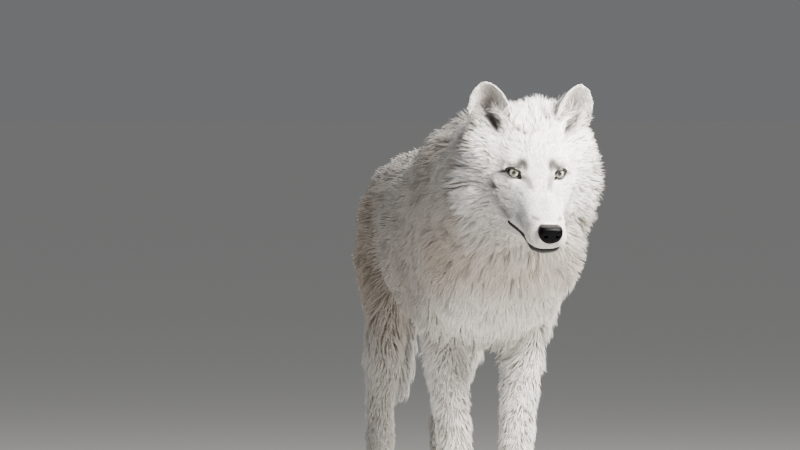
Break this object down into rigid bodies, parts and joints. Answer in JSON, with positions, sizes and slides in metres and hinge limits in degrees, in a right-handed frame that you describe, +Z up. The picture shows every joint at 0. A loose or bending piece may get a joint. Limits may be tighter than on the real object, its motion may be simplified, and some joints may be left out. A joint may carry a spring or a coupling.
{
  "type": "arctic wolf",
  "caption": "Life-size still model of a standing arctic wolf in its white winter coat, head lowered a little and turned forwards, tail hanging.",
  "frame": {"origin": "on the floor, under the middle of the whole animal's box", "axes": "the wolf looks along -Y, its left side is at +X, and +Z is up"},
  "size_m": [0.2794, 1.3034, 0.8174],
  "materials": {
    "coat": "dense matte white winter fur, a little greyish beige on the flanks",
    "nose": "moist pebbled black nose pad",
    "eyes": "wet cornea over a pale yellow-grey iris"
  },
  "bodies": {
    "root": {"chest": "coat", "cranium": "coat", "ear_left": "coat", "ear_right": "coat", "eye_left": "eyes", "eye_right": "eyes", "foreleg_left_forearm": "coat", "foreleg_left_pastern": "coat", "foreleg_left_upper": "coat", "foreleg_right_forearm": "coat", "foreleg_right_pastern": "coat", "foreleg_right_upper": "coat", "forepaw_left": "coat", "forepaw_right": "coat", "hindleg_left_gaskin": "coat", "hindleg_left_metatarsus": "coat", "hindleg_left_thigh": "coat", "hindleg_right_gaskin": "coat", "hindleg_right_metatarsus": "coat", "hindleg_right_thigh": "coat", "hindpaw_left": "coat", "hindpaw_right": "coat", "hindquarters": "coat", "lower_jaw": "coat", "muzzle": "coat", "neck": "coat", "nose": "nose", "ribs_and_loin": "coat", "tail": "coat"}
  },
  "joints": []
}
